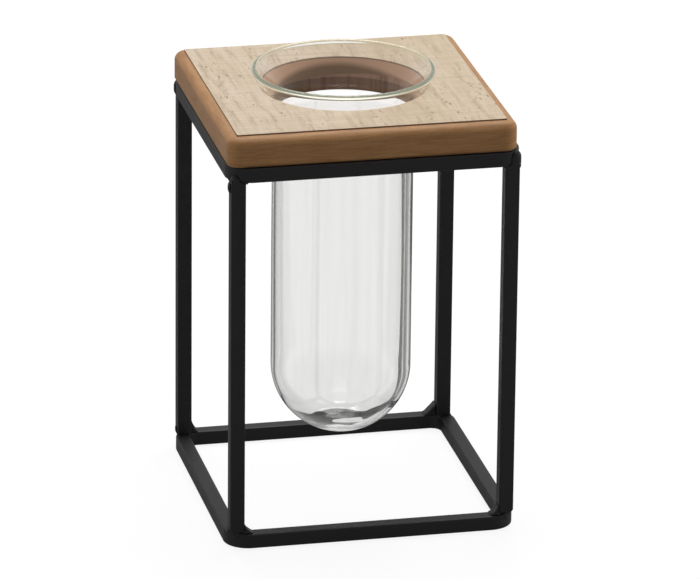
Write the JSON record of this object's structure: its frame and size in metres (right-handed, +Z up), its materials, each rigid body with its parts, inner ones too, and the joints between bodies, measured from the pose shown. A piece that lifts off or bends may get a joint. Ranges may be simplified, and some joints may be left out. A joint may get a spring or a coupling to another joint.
{
  "type": "test-tube vase",
  "caption": "Square steel bar frame with a veneered wooden top board, in whose hole a round-bottomed clear glass tube with a flared mouth hangs as a bud vase.",
  "frame": {"origin": "middle of the footprint, on the surface that the vase stands on", "axes": "+X to the right, +Y to the back, +Z up, seen from the front"},
  "size_m": [0.1, 0.1, 0.152],
  "materials": {
    "powder_coat": "matt black powder coat with a fine grain, on square bar",
    "screw_steel": "bright zinc-plated steel",
    "fibreboard": "brown fibreboard, sanded round its edges and sealed matt",
    "wood_veneer": "pale veneer with fine straight grain, matt",
    "clear_glass": "clear blown glass, faintly green where it is thick"
  },
  "bodies": {
    "stand": {"base_ring": "powder_coat", "top_ring": "powder_coat", "post_front_left": "powder_coat", "post_front_right": "powder_coat", "post_back_left": "powder_coat", "post_back_right": "powder_coat", "base_weld_front_left": "powder_coat", "base_weld_front_right": "powder_coat", "base_weld_back_left": "powder_coat", "base_weld_back_right": "powder_coat", "top_weld_front_left": "powder_coat", "top_weld_front_right": "powder_coat", "top_weld_back_left": "powder_coat", "top_weld_back_right": "powder_coat", "fixing_tab_front_left": "powder_coat", "fixing_tab_front_right": "powder_coat", "fixing_tab_back_left": "powder_coat", "fixing_tab_back_right": "powder_coat", "tab_screw_front_left": "screw_steel", "tab_screw_front_right": "screw_steel", "tab_screw_back_left": "screw_steel", "tab_screw_back_right": "screw_steel", "board_core": "fibreboard", "top_veneer": "wood_veneer"},
    "tube": {"glass_tube": "clear_glass"}
  },
  "joints": [
    {"name": "tube_lift", "type": "slide", "parent": "stand", "child": "tube", "axis": [0, 0, 1], "range_m": [0, 0.135]}
  ]
}
